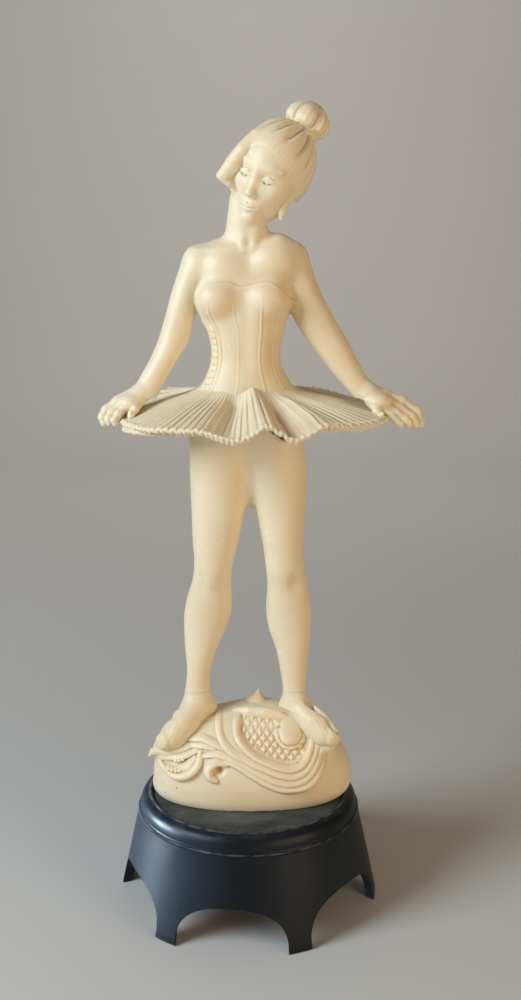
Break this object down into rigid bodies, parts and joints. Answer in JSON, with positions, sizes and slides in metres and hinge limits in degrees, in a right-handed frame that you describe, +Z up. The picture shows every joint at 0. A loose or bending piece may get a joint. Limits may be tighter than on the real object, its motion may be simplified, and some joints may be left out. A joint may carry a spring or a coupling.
{
  "type": "dancer statuette on a pedestal",
  "caption": "Moulded resin dancer in a tutu standing on a knoll, on a round hollow pedestal with arched openings.",
  "frame": {"origin": "on the floor plane under the feet, at the middle of the object's box; the pedestal's axis stands 3.1 mm to -X of it", "axes": "+Z up through the figure, -Y towards the front of the figure, +X towards its own left hand, on the viewer's right"},
  "size_m": [0.0681, 0.055, 0.1699],
  "materials": {
    "ivory_resin": "satin ivory-coloured cast resin, slightly translucent",
    "black_moulding": "satin black moulded plastic",
    "grey_disc": "matt dark grey disc",
    "zinc_steel": "zinc-plated steel"
  },
  "bodies": {
    "root": {"mound": "ivory_resin", "left_slipper": "ivory_resin", "right_slipper": "ivory_resin", "left_leg": "ivory_resin", "right_leg": "ivory_resin", "pelvis": "ivory_resin", "tutu": "ivory_resin", "petticoat": "ivory_resin", "bodice": "ivory_resin", "left_arm": "ivory_resin", "right_arm": "ivory_resin", "head": "ivory_resin", "hair_bun": "ivory_resin", "pedestal": "black_moulding", "recess_disc": "grey_disc", "mound_screw": "zinc_steel", "screw_washer": "zinc_steel"}
  },
  "joints": []
}
